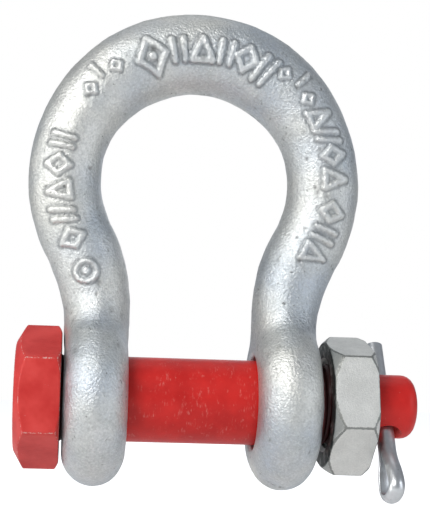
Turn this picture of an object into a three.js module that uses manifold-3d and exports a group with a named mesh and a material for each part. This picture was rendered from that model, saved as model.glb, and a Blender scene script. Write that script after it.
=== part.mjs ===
// A bolt-type bow shackle, also called an anchor shackle: a forged bow, a hex-headed bolt through
// the bow's two eyes, a hex nut on the bolt's thread, and a cotter pin through the bolt's end.
//
// Millimetres. The origin is on the bolt's axis, midway between the eyes. +X runs along the bolt
// from its head to its nut, +Z runs up to the crown of the bow, and -Y is the front.
import * as THREE from "three";
import { mergeVertices } from "three/addons/utils/BufferGeometryUtils.js";
import Module from "manifold-3d";

const wasm = await Module();
wasm.setup();

// ---------------------------------------------------------------- driving dimensions
const BOW_INSIDE_DIAMETER = 42.6;
const CROWN_HEIGHT = 69.7; // bolt axis to the inside of the crown
const BAR_DIAMETER = 16.4; // at the sides of the bow
const CROWN_DIAMETER = 18.4; // the bar is thickest at the top
const LEG_WIDTH = 14.8;
const EYE_SPACING = 42.4; // centre to centre
const EYE_DIAMETER = 39.4;
const EYE_THICKNESS = 14;
const EYE_BORE = 21;
const EYE_ROUNDING = 7.2; // how far the rounding of an eye's rim reaches in
const EYE_FLARE_DIAMETER = 34.4; // the bar's depth where it meets the eye
const EYE_SEAT_DIAMETER = 27; // the flat face round the bore
const SHANK_DIAMETER = 19;
const HEX_ACROSS_FLATS = 28;
const HEAD_THICKNESS = 10.1;
const NUT_THICKNESS = 10;
const THREAD_DIAMETER = 18.4;
const POINT_DIAMETER = 14.4; // the plain end beyond the thread
const COTTER_DIAMETER = 3.9;

// ---------------------------------------------------------------- clearances
const HEAD_CLEARANCE = 0.5; // head to the left eye
const NUT_CLEARANCE = 2.2; // right eye to the nut
const SHOULDER_CLEARANCE = 0.5; // end of the shank to the nut
const THREAD_CLEARANCE = 0.35; // on the radius, between the nut and the thread
const NUT_PLAY = 1.8; // along the bolt, from the nut to the cotter pin
const COTTER_CLEARANCE = 0.7; // on the radius, in the bolt's cross hole
const COTTER_OFFSET = 0.35; // the pin lies nearer to the nut than the middle of its hole

// ---------------------------------------------------------------- places along the bolt
const EYE_CENTRE = EYE_SPACING / 2;
const EYE_OUTSIDE = EYE_CENTRE + EYE_THICKNESS / 2;
const HEAD_SEAT = -EYE_OUTSIDE - HEAD_CLEARANCE;
const NUT_SEAT = EYE_OUTSIDE + NUT_CLEARANCE;
const NUT_END = NUT_SEAT + NUT_THICKNESS;
const SHOULDER = NUT_SEAT - SHOULDER_CLEARANCE;
const COTTER_X = NUT_END + NUT_PLAY + COTTER_DIAMETER / 2;
const POINT_BEYOND_COTTER = 7;
const BOLT_END = COTTER_X + POINT_BEYOND_COTTER;

// ---------------------------------------------------------------- how the pieces are turned
const HEAD_TURN = THREE.MathUtils.degToRad(-2); // about the bolt's axis
const NUT_TURN = THREE.MathUtils.degToRad(-13);
const COTTER_TILT = THREE.MathUtils.degToRad(31); // its eye swings this far to the front
const COTTER_EYE_TURN = THREE.MathUtils.degToRad(166); // of the eye's plane about the pin

// ---------------------------------------------------------------- edges
// Lengths along the corners, and the chamfers' angle to the end faces.
const HEAD_CHAMFERS = { low: 2.4, high: 0.9, angle: THREE.MathUtils.degToRad(30) };
const NUT_CHAMFERS = { low: 2.4, high: 1.6, angle: THREE.MathUtils.degToRad(48) };
const SHOULDER_CHAMFER = 0.5;
const THREAD_RUN_OUT = 2; // from the thread down to the point
const POINT_ROUNDING = 2.9; // at the bolt's end
const POINT_INSIDE_NUT = 0.4; // the plain point starts this far inside the nut

// ---------------------------------------------------------------- mesh density
const BAR_SIDES = 24;
const BAR_STEPS = 56;
const EYE_ROUND_STEPS = 9;
const POINT_ROUND_STEPS = 5;
const ROUND_SIDES = 48;
const HOLE_SIDES = 20;
const WIRE_SIDES = 10;
const WIRE_BEND_STEPS = 8;
const OVERRUN = 1; // how far a cut runs on past the faces it opens

const ACROSS = new THREE.Vector3(0, 1, 0);

// ---------------------------------------------------------------- solids and booleans
function toSolid(geometry) {
  const bare = geometry.clone();
  bare.deleteAttribute("normal");
  bare.deleteAttribute("uv");
  const merged = mergeVertices(bare, 1e-4);
  return new wasm.Manifold(
    new wasm.Mesh({
      numProp: 3,
      vertProperties: new Float32Array(merged.attributes.position.array),
      triVerts: new Uint32Array(merged.index.array),
    }),
  );
}

function toGeometry(solid) {
  const mesh = solid.getMesh();
  const geometry = new THREE.BufferGeometry();
  geometry.setAttribute("position", new THREE.BufferAttribute(mesh.vertProperties, 3));
  geometry.setIndex(new THREE.BufferAttribute(mesh.triVerts, 1));
  geometry.computeVertexNormals();
  return geometry;
}

// A profile of [distance from the axis, place along X] turned about the X axis.
function turned(profile, sides = ROUND_SIDES) {
  const points = profile.map(([r, x]) => new THREE.Vector2(r, x));
  return toSolid(new THREE.LatheGeometry(points, sides).rotateZ(-Math.PI / 2));
}

// A closed skin over rings of points, each ring with the same number of points.
function skinned(rings) {
  const sides = rings[0].length;
  const index = [];
  for (let i = 0; i < rings.length - 1; i++) {
    for (let k = 0; k < sides; k++) {
      const a = i * sides + k;
      const b = i * sides + ((k + 1) % sides);
      index.push(a, b, b + sides, a, b + sides, a + sides);
    }
  }
  const last = (rings.length - 1) * sides;
  for (let k = 1; k < sides - 1; k++) {
    index.push(0, k + 1, k);
    index.push(last, last + k, last + k + 1);
  }
  const geometry = new THREE.BufferGeometry().setFromPoints(rings.flat());
  geometry.setIndex(index);
  return geometry;
}

// ---------------------------------------------------------------- the bow
const LEG_HEIGHT = 17; // the legs run straight up to here
const RING_RADIUS = (BOW_INSIDE_DIAMETER + BAR_DIAMETER) / 2;
const RING_HEIGHT = CROWN_HEIGHT + CROWN_DIAMETER / 2 - RING_RADIUS;

// A reverse bend joins each upright leg to the ring, tangent to both.
const RISE = RING_HEIGHT - LEG_HEIGHT;
const BEND_RADIUS =
  (RISE ** 2 + EYE_CENTRE ** 2 - RING_RADIUS ** 2) / (2 * (RING_RADIUS - EYE_CENTRE));
const BEND_ANGLE = Math.atan2(RISE, EYE_CENTRE + BEND_RADIUS);

const RING_LENGTH = RING_RADIUS * (Math.PI / 2 + BEND_ANGLE);
const BEND_LENGTH = BEND_RADIUS * BEND_ANGLE;
const HALF_LENGTH = RING_LENGTH + BEND_LENGTH + LEG_HEIGHT;

// The bow's centreline from the left eye, over the crown, to the right eye.
class BowCentreline extends THREE.Curve {
  getPoint(t, target = new THREE.Vector3()) {
    const side = t < 0.5 ? -1 : 1;
    const s = Math.abs(2 * t - 1) * HALF_LENGTH;
    if (s <= RING_LENGTH) {
      const angle = s / RING_RADIUS;
      const x = RING_RADIUS * Math.sin(angle);
      return target.set(side * x, 0, RING_HEIGHT + RING_RADIUS * Math.cos(angle));
    }
    if (s <= RING_LENGTH + BEND_LENGTH) {
      const angle = BEND_ANGLE - (s - RING_LENGTH) / BEND_RADIUS;
      const x = EYE_CENTRE + BEND_RADIUS * (1 - Math.cos(angle));
      return target.set(side * x, 0, LEG_HEIGHT + BEND_RADIUS * Math.sin(angle));
    }
    return target.set(side * EYE_CENTRE, 0, HALF_LENGTH - s);
  }
}

// Stretches of the bar in which its section changes, from the crown (0) to the eyes (1).
const CROWN_TO_SIDES = [0.1, 0.4];
const SIDES_TO_LEGS = [0.67, 0.84];
const LEGS_TO_EYES = [0.74, 0.97];
const smooth = THREE.MathUtils.smoothstep;

// Half the bar's width in the plane of the bow.
function barHalfWidth(u) {
  const toSides = (BAR_DIAMETER - CROWN_DIAMETER) * smooth(u, ...CROWN_TO_SIDES);
  const toLegs = (LEG_WIDTH - BAR_DIAMETER) * smooth(u, ...SIDES_TO_LEGS);
  return (CROWN_DIAMETER + toSides + toLegs) / 2;
}

// Half the bar's depth, front to back, which flares into the eyes.
function barHalfDepth(u) {
  const flare = EYE_FLARE_DIAMETER - BAR_DIAMETER;
  return (BAR_DIAMETER + flare * smooth(u, ...LEGS_TO_EYES)) / 2;
}

function bar() {
  const curve = new BowCentreline();
  const rings = [];
  for (let i = 0; i <= BAR_STEPS; i++) {
    const t = i / BAR_STEPS;
    const centre = curve.getPoint(t);
    const side = new THREE.Vector3().crossVectors(ACROSS, curve.getTangent(t)).normalize();
    const u = Math.abs(2 * t - 1);
    const ring = [];
    for (let k = 0; k < BAR_SIDES; k++) {
      const angle = (2 * Math.PI * k) / BAR_SIDES;
      const point = centre.clone();
      point.addScaledVector(side, barHalfWidth(u) * Math.cos(angle));
      point.addScaledVector(ACROSS, barHalfDepth(u) * Math.sin(angle));
      ring.push(point);
    }
    rings.push(ring);
  }
  return toSolid(skinned(rings));
}

// One eye: a thick disc with a fully rounded rim and flat faces round its bore.
function eye() {
  const flat = EYE_DIAMETER / 2 - EYE_ROUNDING;
  const profile = [[0, -EYE_THICKNESS / 2]];
  for (let i = 0; i <= EYE_ROUND_STEPS; i++) {
    const angle = Math.PI * (i / EYE_ROUND_STEPS - 0.5);
    const radius = flat + EYE_ROUNDING * Math.cos(angle);
    profile.push([radius, (EYE_THICKNESS / 2) * Math.sin(angle)]);
  }
  profile.push([0, EYE_THICKNESS / 2]);
  return turned(profile);
}

// What is cut away at the eyes: the bore, and the rest of the bar outside the eyes' flat faces.
function eyeCuts() {
  const reach = EYE_OUTSIDE + LEG_WIDTH / 2;
  const bore = turned([[0, -reach], [EYE_BORE / 2, -reach], [EYE_BORE / 2, reach], [0, reach]]);
  const seat = EYE_SEAT_DIAMETER / 2;
  const gap = EYE_CENTRE - EYE_THICKNESS / 2;
  const jaw = turned([[0, -gap], [seat, -gap], [seat, gap], [0, gap]]);
  const outside = turned([[0, EYE_OUTSIDE], [seat, EYE_OUTSIDE], [seat, reach], [0, reach]]);
  return bore.add(jaw).add(outside).add(outside.mirror([1, 0, 0]));
}

function bow() {
  const disc = eye();
  const left = disc.translate([-EYE_CENTRE, 0, 0]);
  const right = disc.translate([EYE_CENTRE, 0, 0]);
  return bar().add(left).add(right).subtract(eyeCuts());
}

// ---------------------------------------------------------------- hexagons
// A hexagonal prism along X with a flat to the front before it is turned. Its corners are
// chamfered at the low and high ends.
function hexagon(low, high, turn, chamfers) {
  const corner = HEX_ACROSS_FLATS / Math.sqrt(3);
  const prism = new THREE.CylinderGeometry(corner, corner, high - low, 6)
    .rotateZ(-Math.PI / 2)
    .rotateX(turn)
    .translate((low + high) / 2, 0, 0);
  const slope = 1 / Math.tan(chamfers.angle);
  const envelope = [
    [0, low],
    [corner - chamfers.low * slope, low],
    [corner, low + chamfers.low],
    [corner, high - chamfers.high],
    [corner - chamfers.high * slope, high],
    [0, high],
  ];
  return toSolid(prism).intersect(turned(envelope));
}

// ---------------------------------------------------------------- the bolt
function crossHole() {
  const radius = COTTER_DIAMETER / 2 + COTTER_CLEARANCE;
  const hole = new THREE.CylinderGeometry(radius, radius, 2 * POINT_DIAMETER, HOLE_SIDES)
    .rotateX(Math.PI / 2 - COTTER_TILT)
    .translate(COTTER_X + COTTER_OFFSET, 0, 0);
  return toSolid(hole);
}

function roundedEnd(radius, end) {
  const arc = [];
  for (let i = 0; i <= POINT_ROUND_STEPS; i++) {
    const angle = (Math.PI / 2) * (i / POINT_ROUND_STEPS);
    const inset = POINT_ROUNDING * (1 - Math.cos(angle));
    arc.push([radius - inset, end - POINT_ROUNDING * (1 - Math.sin(angle))]);
  }
  return arc;
}

function bolt() {
  const head = hexagon(HEAD_SEAT - HEAD_THICKNESS, HEAD_SEAT, HEAD_TURN, HEAD_CHAMFERS);
  const shank = SHANK_DIAMETER / 2;
  const thread = THREAD_DIAMETER / 2;
  const point = POINT_DIAMETER / 2;
  const root = HEAD_SEAT - HEAD_THICKNESS / 2;
  const pointStart = NUT_END - POINT_INSIDE_NUT;
  const stem = turned([
    [0, root],
    [shank, root],
    [shank, SHOULDER - SHOULDER_CHAMFER],
    [shank - SHOULDER_CHAMFER, SHOULDER],
    [thread, SHOULDER],
    [thread, pointStart - THREAD_RUN_OUT],
    [point, pointStart],
    ...roundedEnd(point, BOLT_END),
    [0, BOLT_END],
  ]);
  return head.add(stem).subtract(crossHole());
}

// ---------------------------------------------------------------- the nut
function nut() {
  const bore = THREAD_DIAMETER / 2 + THREAD_CLEARANCE;
  const low = NUT_SEAT - OVERRUN;
  const high = NUT_END + OVERRUN;
  const hole = turned([[0, low], [bore, low], [bore, high], [0, high]]);
  return hexagon(NUT_SEAT, NUT_END, NUT_TURN, NUT_CHAMFERS).subtract(hole);
}

// ---------------------------------------------------------------- the cotter pin
// The wire has a half-round section. It runs up one leg, round the eye and back down the other
// leg, flat side inwards, so that the two legs together make a round pin.
const LEG_LENGTH = 16.2; // from the bolt's axis to the cut ends
const EYE_REACH = 24; // from the bolt's axis to the far side of the eye
const EYE_NECK = 11; // from the bolt's axis to where the wires part
const EYE_RADIUS = 3.7; // to the outside of the wire
const SLIT = 0.36; // between the two legs, which keeps them apart up to the eye
const WIRE_THICKNESS = (COTTER_DIAMETER - SLIT) / 2;
const NECK_HANDLE = 0.4; // share of the neck's length over which the wire stays straight

// The inside edge of the wire: [along the pin towards its eye, out from the pin's axis].
function cotterInside() {
  const radius = EYE_RADIUS - WIRE_THICKNESS;
  const centre = EYE_REACH - EYE_RADIUS;
  const path = new THREE.CurvePath();
  const at = (along, out) => new THREE.Vector3(along, out, 0);
  const neck = centre - EYE_NECK;
  path.add(new THREE.LineCurve3(at(-LEG_LENGTH, SLIT / 2), at(EYE_NECK, SLIT / 2)));
  path.add(
    new THREE.CubicBezierCurve3(
      at(EYE_NECK, SLIT / 2),
      at(EYE_NECK + neck * NECK_HANDLE, SLIT / 2),
      at(centre - neck * NECK_HANDLE, radius),
      at(centre, radius),
    ),
  );
  return { path, centre, radius };
}

function wireRing(place, outward) {
  const ring = [];
  const halfWidth = COTTER_DIAMETER / 2;
  const normal = new THREE.Vector3(0, 0, 1);
  for (let k = 0; k <= WIRE_SIDES; k++) {
    const angle = Math.PI * (k / WIRE_SIDES);
    const point = place.clone();
    point.addScaledVector(normal, halfWidth * Math.cos(angle));
    point.addScaledVector(outward, WIRE_THICKNESS * Math.sin(angle));
    ring.push(point);
  }
  return ring;
}

function cotterPin() {
  const { path, centre, radius } = cotterInside();
  const [leg, flare] = path.curves;
  const half = [];
  for (const [curve, shares] of [[leg, [0, 1]], [flare, [0.2, 0.4, 0.6, 0.8, 1]]]) {
    for (const t of shares) {
      const tangent = curve.getTangent(t);
      const outward = new THREE.Vector3(-tangent.y, tangent.x, 0);
      half.push(wireRing(curve.getPoint(t), outward));
    }
  }
  const bend = [];
  for (let i = 1; i < WIRE_BEND_STEPS; i++) {
    const angle = Math.PI * (0.5 - i / WIRE_BEND_STEPS);
    const outward = new THREE.Vector3(Math.cos(angle), Math.sin(angle), 0);
    const place = new THREE.Vector3(centre, 0, 0).addScaledVector(outward, radius);
    bend.push(wireRing(place, outward));
  }
  const opposite = (ring) => ring.map((p) => new THREE.Vector3(p.x, -p.y, p.z));
  const rings = [...half, ...bend, ...half.map(opposite).reverse()];
  const wire = skinned(rings.map((ring) => ring.reverse()));
  return wire
    .rotateX(COTTER_EYE_TURN)
    .rotateY(Math.PI / 2)
    .rotateX(-COTTER_TILT)
    .translate(COTTER_X, 0, 0);
}

// ---------------------------------------------------------------- the assembly
function piece(name, geometry, color, roughness, metalness) {
  const material = new THREE.MeshStandardMaterial({ color, roughness, metalness });
  const mesh = new THREE.Mesh(geometry, material);
  mesh.name = name;
  return mesh;
}

const shackle = new THREE.Group();
const onBolt = new THREE.Group();
onBolt.add(piece("bolt", toGeometry(bolt()), 0xb52c2b, 0.45, 0.0));
onBolt.add(piece("nut", toGeometry(nut()), 0xb9bdb8, 0.55, 0.8));
onBolt.add(piece("cotter_pin", cotterPin(), 0x8f959a, 0.35, 0.9));
shackle.add(piece("bow", toGeometry(bow()), 0xb4bbc2, 0.5, 0.8));
shackle.add(onBolt);

export default shackle;
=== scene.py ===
import math

import bpy
import numpy as np
from mathutils import Matrix, Vector


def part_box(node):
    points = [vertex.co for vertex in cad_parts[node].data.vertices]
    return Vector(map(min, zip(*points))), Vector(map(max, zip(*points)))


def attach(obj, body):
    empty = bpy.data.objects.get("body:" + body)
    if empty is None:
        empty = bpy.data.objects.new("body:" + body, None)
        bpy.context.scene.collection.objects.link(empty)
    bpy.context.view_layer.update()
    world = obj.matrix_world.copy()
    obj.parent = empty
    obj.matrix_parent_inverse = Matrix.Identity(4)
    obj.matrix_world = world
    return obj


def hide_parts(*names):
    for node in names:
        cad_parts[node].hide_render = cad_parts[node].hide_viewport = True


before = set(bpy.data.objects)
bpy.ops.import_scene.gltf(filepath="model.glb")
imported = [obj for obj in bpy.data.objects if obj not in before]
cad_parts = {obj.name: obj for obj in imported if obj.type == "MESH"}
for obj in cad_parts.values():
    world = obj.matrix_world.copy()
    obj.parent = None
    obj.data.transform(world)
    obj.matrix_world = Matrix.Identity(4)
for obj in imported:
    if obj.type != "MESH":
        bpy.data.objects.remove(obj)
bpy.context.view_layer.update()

MM = 0.001


def box_mm(node):
    """The low and high corners of a part of the frame, in millimetres."""
    low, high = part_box(node)
    return np.array(low) / MM, np.array(high) / MM


BOW_LOW, BOW_HIGH = box_mm("bow")
BOLT_LOW, BOLT_HIGH = box_mm("bolt")
NUT_LOW, NUT_HIGH = box_mm("nut")

# ---------------------------------------------------------------- the bow's sizes
SKIN_ROOM = 0.15  # keeps the lumps of zinc inside the forging's envelope
BAR_RADIUS = 8.2
CROWN_RADIUS = 9.2
LEG_RADIUS = 7.4
EYE_CENTRE = 21.2
EYE_HALF_THICKNESS = 7.0
EYE_ROUNDING = 7.2
EYE_BORE_RADIUS = 10.5
LEG_HEIGHT = 17.0
EYE_RADIUS = -BOW_LOW[2] - SKIN_ROOM
RING_RADIUS = BOW_HIGH[0] - BAR_RADIUS
RING_HEIGHT = BOW_HIGH[2] - CROWN_RADIUS - RING_RADIUS
RISE = RING_HEIGHT - LEG_HEIGHT
BEND_RADIUS = (RISE**2 + EYE_CENTRE**2 - RING_RADIUS**2) / (2 * (RING_RADIUS - EYE_CENTRE))
BEND_ANGLE = math.atan2(RISE, EYE_CENTRE + BEND_RADIUS)
RING_LENGTH = RING_RADIUS * (math.pi / 2 + BEND_ANGLE)
BEND_LENGTH = BEND_RADIUS * BEND_ANGLE
HALF_LENGTH = RING_LENGTH + BEND_LENGTH + LEG_HEIGHT

MARKED_FROM, MARKED_TO = -76.0, 67.0  # the stretch of the bow that carries the forge marks
FINE_STEP = 0.27
PLAIN_STEP = 0.66
FRONT_ANGLE = math.radians(37)
FRONT_COLUMNS = 52
OTHER_COLUMNS = 82
EYE_FILLET = 12.0  # seen from the side, between the leg and the rim of the eye
# Stretches over which the bar's section changes, as shares of the way from the crown to the eyes.
CROWN_TO_SIDES = (0.1, 0.4)
SIDES_TO_LEGS = (0.67, 0.84)
EYE_FROM = 0.7  # the eye's own surface counts from here on
LEG_TUCK = 1.0  # the leg narrows by this much inside the eye
TUCK_HEIGHTS = (14, 6)  # above the bolt: from none of it to all of it
LEG_END_DEPTH = 18.0  # below the bolt's axis, where the leg's oval closes inside the eye
BORE_FLARE = 0.9
BORE_FLARE_ANGLE = math.radians(62)
FLASH_HEIGHT = 0.14
FLASH_WIDTH = math.radians(4)
PITS = 130
BOW_LUMPS = 0.20  # the height of the zinc's lumps
NUT_LUMPS = 0.05

# ---------------------------------------------------------------- the bolt's, nut's and cotter pin's sizes
HEX_ACROSS_FLATS = 28.0
HEX_SHARPNESS = 60.0
HEX_EDGE_RADIUS = 0.35
BEARING_RADIUS = 14.2  # of the nut's flat face
# Chamfers at the low and high ends, as lengths along the corners, and their angle to the end faces.
HEAD_CHAMFERS = (2.4, 0.9, math.radians(30))
NUT_CHAMFERS = (2.4, 1.6, math.radians(48))
SHANK_RADIUS = 9.5
HEAD_THICKNESS = 10.1
HEAD_FILLET = 0.25  # where the shank meets the head
HEAD_SEAT = BOLT_LOW[0] + HEAD_THICKNESS
SHOULDER = 29.9
SHOULDER_CHAMFER = 0.5
THREAD_CREST = 9.2
THREAD_ROOT = 8.25
THREAD_PITCH = 2.54
NUT_CREST = 9.55
NUT_ROOT = 10.4
POINT_RADIUS = 7.2
POINT_ROUNDING = 2.85
POINT_INSIDE_NUT = 0.4
HOLE_RADIUS = 2.65
HOLE_MOUTH = 0.5  # how far the hole's countersunk mouths widen
HOLE_CUT_REACH = 9.0
COTTER_OFFSET = 0.35  # the pin lies nearer to the nut than the middle of its hole
COTTER_WIDTH = 3.9
NUT_PLAY = 1.8  # from the nut to the cotter pin
COTTER_X = NUT_HIGH[0] + NUT_PLAY + COTTER_WIDTH / 2
COTTER_SLIT = 0.36
HEAD_TURN = math.radians(-2)
NUT_TURN = math.radians(-13)
COTTER_TILT = math.radians(31)
COTTER_EYE_TURN = math.radians(166)
HEX_COLUMNS = 48  # in each sixth of a turn


# ---------------------------------------------------------------- small mathematics
def smoothstep(value, low, high):
    t = np.clip((value - low) / (high - low), 0, 1)
    return t * t * (3 - 2 * t)


def smooth_max(a, b, width):
    h = np.clip(0.5 + 0.5 * (a - b) / width, 0, 1)
    return b * (1 - h) + a * h + width * h * (1 - h)


def smooth_min(a, b, width):
    return -smooth_max(-a, -b, width)


# ---------------------------------------------------------------- meshes
def link(obj):
    bpy.context.scene.collection.objects.link(obj)
    return obj


def signed_volume(points, quads):
    a, b, c, d = (points[quads[:, i]] for i in range(4))
    return np.einsum("ij,ij->", a, np.cross(b, c)) + np.einsum("ij,ij->", a, np.cross(c, d))


def grid_object(name, grid, poles=(), around=False, masks=None):
    """A closed skin over rings of points, in millimetres. Each ring closes on itself. The skin ends
    in two poles, or its last ring joins its first where around is true."""
    rows, columns = grid.shape[:2]
    points = grid.reshape(-1, 3)
    row = np.arange(rows if around else rows - 1)[:, None] * columns
    column = np.arange(columns)[None, :]
    beside = (column + 1) % columns
    above = (row + columns) % (rows * columns)
    quads = np.stack([row + column, row + beside, above + beside, above + column], axis=-1).reshape(-1, 4)
    caps = np.empty((0, 3), int)
    if len(poles):
        points = np.vstack([points, poles])
        here = np.arange(columns)
        ahead = (here + 1) % columns
        top = (rows - 1) * columns
        start = np.stack([rows * columns + 0 * here, ahead, here], axis=-1)
        end = np.stack([rows * columns + 1 + 0 * here, top + here, top + ahead], axis=-1)
        caps = np.vstack([start, end])
    # The caps count too: the side walls of a flared shape alone can give the wrong sign.
    if signed_volume(points, np.vstack([quads, caps[:, [0, 1, 2, 2]]])) < 0:
        quads, caps = quads[:, ::-1], caps[:, ::-1]
    faces = quads.tolist() + caps.tolist()
    mesh = bpy.data.meshes.new(name)
    mesh.from_pydata((points * MM).tolist(), [], faces)
    mesh.shade_smooth()
    for mask_name, values in (masks or {}).items():
        layer = mesh.attributes.new(mask_name, "FLOAT", "POINT")
        flat = np.asarray(values, float).reshape(-1)
        layer.data.foreach_set("value", np.pad(flat, (0, len(points) - len(flat))).astype(np.float32))
    mesh.update()
    return link(bpy.data.objects.new(name, mesh))


def make_plain(obj):
    """Turns what the object's modifiers and curve make into a plain mesh of its own."""
    graph = bpy.context.evaluated_depsgraph_get()
    mesh = bpy.data.meshes.new_from_object(obj.evaluated_get(graph))
    name = obj.name
    bpy.data.objects.remove(obj)
    mesh.name = name
    return link(bpy.data.objects.new(name, mesh))


def cut(obj, cutter):
    """Takes the cutter away from the object, and the cutter out of the scene."""
    boolean = obj.modifiers.new("cut", "BOOLEAN")
    boolean.operation = "DIFFERENCE"
    boolean.solver = "EXACT"
    boolean.object = cutter
    result = make_plain(obj)
    bpy.data.objects.remove(cutter)
    result.data.shade_smooth()
    result.data.set_sharp_from_angle(angle=math.radians(38))
    return result


# ---------------------------------------------------------------- the bow
def bow_rows():
    """Every ring's place along the bow: centre x, z, outward normal x, z, and the length from the crown."""
    s = [0.0]
    while s[-1] < HALF_LENGTH:
        s.append(s[-1] + (FINE_STEP if s[-1] < MARKED_TO else PLAIN_STEP))
    right = np.array(s[1:-1])
    s = [0.0]
    while s[-1] < HALF_LENGTH:
        s.append(s[-1] + (FINE_STEP if s[-1] < -MARKED_FROM else PLAIN_STEP))
    left = -np.array(s[1:-1])[::-1]
    along = np.concatenate([[-HALF_LENGTH], left, [0.0], right, [HALF_LENGTH]])
    side = np.sign(along)
    far = np.abs(along)
    on_ring = far <= RING_LENGTH
    on_bend = far <= RING_LENGTH + BEND_LENGTH
    ring = far / RING_RADIUS
    bend = np.clip(BEND_ANGLE - (far - RING_LENGTH) / BEND_RADIUS, 0, BEND_ANGLE)
    x = np.where(on_ring, RING_RADIUS * np.sin(ring), EYE_CENTRE + BEND_RADIUS * (1 - np.cos(bend)))
    leg_z = HALF_LENGTH - far
    z = np.where(on_ring, RING_HEIGHT + RING_RADIUS * np.cos(ring), LEG_HEIGHT + BEND_RADIUS * np.sin(bend))
    z = np.where(on_bend, z, leg_z)
    nx = np.where(on_ring, np.sin(ring), np.cos(bend))
    nz = np.where(on_ring, np.cos(ring), -np.sin(bend))
    body = np.stack([side * x, z, side * nx, nz, along], axis=1)
    steps = int(EYE_RADIUS * math.pi / 2 / PLAIN_STEP)
    turn = np.linspace(0, math.pi / 2, steps + 1)[1:-1]
    below = EYE_RADIUS * np.sin(turn)
    ones = np.ones_like(below)
    under = [EYE_CENTRE * ones, -below, ones, 0 * ones, HALF_LENGTH + below]
    right_end = np.stack(under, axis=1)
    left_end = (right_end * [-1, 1, -1, 1, -1])[::-1]
    return np.vstack([left_end, body, right_end])


def bow_angles():
    """The angles of the points round each ring. Zero is the front, a quarter turn the outer side."""
    front = np.linspace(-FRONT_ANGLE, FRONT_ANGLE, FRONT_COLUMNS, endpoint=False)
    rest = np.linspace(FRONT_ANGLE, 2 * math.pi - FRONT_ANGLE, OTHER_COLUMNS, endpoint=False)
    return np.concatenate([front, rest])


def eye_reach(angle, z):
    """How far the eye's surface is from its centre line, in a level cut at the height z."""
    low = np.zeros_like(z + angle)
    high = np.full_like(low, 2 * EYE_RADIUS)
    flat = EYE_RADIUS - EYE_ROUNDING
    for _ in range(40):
        reach = (low + high) / 2
        radial = np.maximum(np.hypot(reach * np.cos(angle), z) - flat, 0) / EYE_ROUNDING
        sideways = reach * np.sin(angle) / EYE_HALF_THICKNESS
        inside = radial**2 + sideways**2 < 1
        low = np.where(inside, reach, low)
        high = np.where(inside, high, reach)
    return low


def leg_depth(up):
    """Half the leg's depth at a height above the bolt: a fillet leads from the bar into the eye's rim."""
    bar = BAR_RADIUS - SKIN_ROOM
    fillet_up = math.sqrt((EYE_RADIUS + EYE_FILLET) ** 2 - (bar + EYE_FILLET) ** 2)
    meets_rim = fillet_up * EYE_RADIUS / (EYE_RADIUS + EYE_FILLET)
    drop = np.clip(fillet_up - np.maximum(up, meets_rim), 0, None)
    return bar + EYE_FILLET - np.sqrt(EYE_FILLET**2 - drop**2)


def bar_reach(angle, z, share):
    """The same for the bar, whose section is an oval, at a share of the way from the crown to the eyes."""
    width = CROWN_RADIUS + (BAR_RADIUS - CROWN_RADIUS) * smoothstep(share, *CROWN_TO_SIDES)
    width = width + (LEG_RADIUS - BAR_RADIUS) * smoothstep(share, *SIDES_TO_LEGS) - SKIN_ROOM
    width = width - LEG_TUCK * smoothstep(-z, -TUCK_HEIGHTS[0], -TUCK_HEIGHTS[1]) * (share > 0.8)
    depth = leg_depth((1 - share) * HALF_LENGTH)
    below = np.sqrt(np.clip(1 - (np.minimum(z, 0) / LEG_END_DEPTH) ** 2, 0, 1))
    return below / np.hypot(np.sin(angle) / width, np.cos(angle) / depth)


def bow_grid():
    rows = bow_rows()
    x, z, nx, nz, along = (column[:, None] for column in rows.T)
    angle = bow_angles()[None, :]
    share = np.clip(np.abs(along) / HALF_LENGTH, 0, 1)
    blend = 0.4 + 0.8 * np.cos(angle) ** 2
    eye = np.where(share > EYE_FROM, eye_reach(angle, z), 0)
    reach = smooth_max(bar_reach(angle, z, share), eye, blend)
    outward = np.stack([np.sin(angle) * nx, -np.cos(angle) + 0 * nx, np.sin(angle) * nz], axis=-1)
    centre = np.stack([x + 0 * angle, 0 * x + 0 * angle, z + 0 * angle], axis=-1)
    return centre, outward, reach, angle + 0 * x, along + 0 * angle


# ---------------------------------------------------------------- the raised forge marks
MARK_HEIGHT = 0.46
CROWN_MARK_EXTRA = 0.16  # the marks over the crown stand this much higher
CROWN_STROKE = 0.62
SIDE_STROKE = 0.5
MARK_FRONT = 0.72  # marks show where the cosine of the angle from the front is above this


# Each mark is made of strokes: bars, rings and dots, placed by the length along the bow from the
# crown and the distance outward from the bow's centreline.
def bar_mark(s0, h0, s1, h1, half_width):
    def distance(s, h):
        ds, dh = s1 - s0, h1 - h0
        t = np.clip(((s - s0) * ds + (h - h0) * dh) / (ds * ds + dh * dh), 0, 1)
        return np.hypot(s - s0 - t * ds, h - h0 - t * dh) - half_width
    return distance


def ring_mark(s0, h0, radius, half_width):
    return lambda s, h: np.abs(np.hypot(s - s0, h - h0) - radius) - half_width


def dot_mark(s0, h0, radius):
    return lambda s, h: np.hypot(s - s0, h - h0) - radius


def outline(points, half_width):
    closed = points + points[:1]
    return [bar_mark(*a, *b, half_width) for a, b in zip(closed, closed[1:])]


def lozenge(s, h, width, height, stroke):
    w, t = width / 2, height / 2
    return outline([(s - w, h), (s, h + t), (s + w, h), (s, h - t)], stroke)


def triangle(s, h, width, height, stroke):
    w, t = width / 2, height / 2
    return outline([(s - w, h - t), (s, h + t), (s + w, h - t)], stroke)


def double_bar(s, h, gap, height, lean, stroke):
    t = height / 2
    left = bar_mark(s - gap / 2 - lean, h - t, s - gap / 2 + lean, h + t, stroke)
    right = bar_mark(s + gap / 2 - lean, h - t, s + gap / 2 + lean, h + t, stroke)
    return [left, right]


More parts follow.
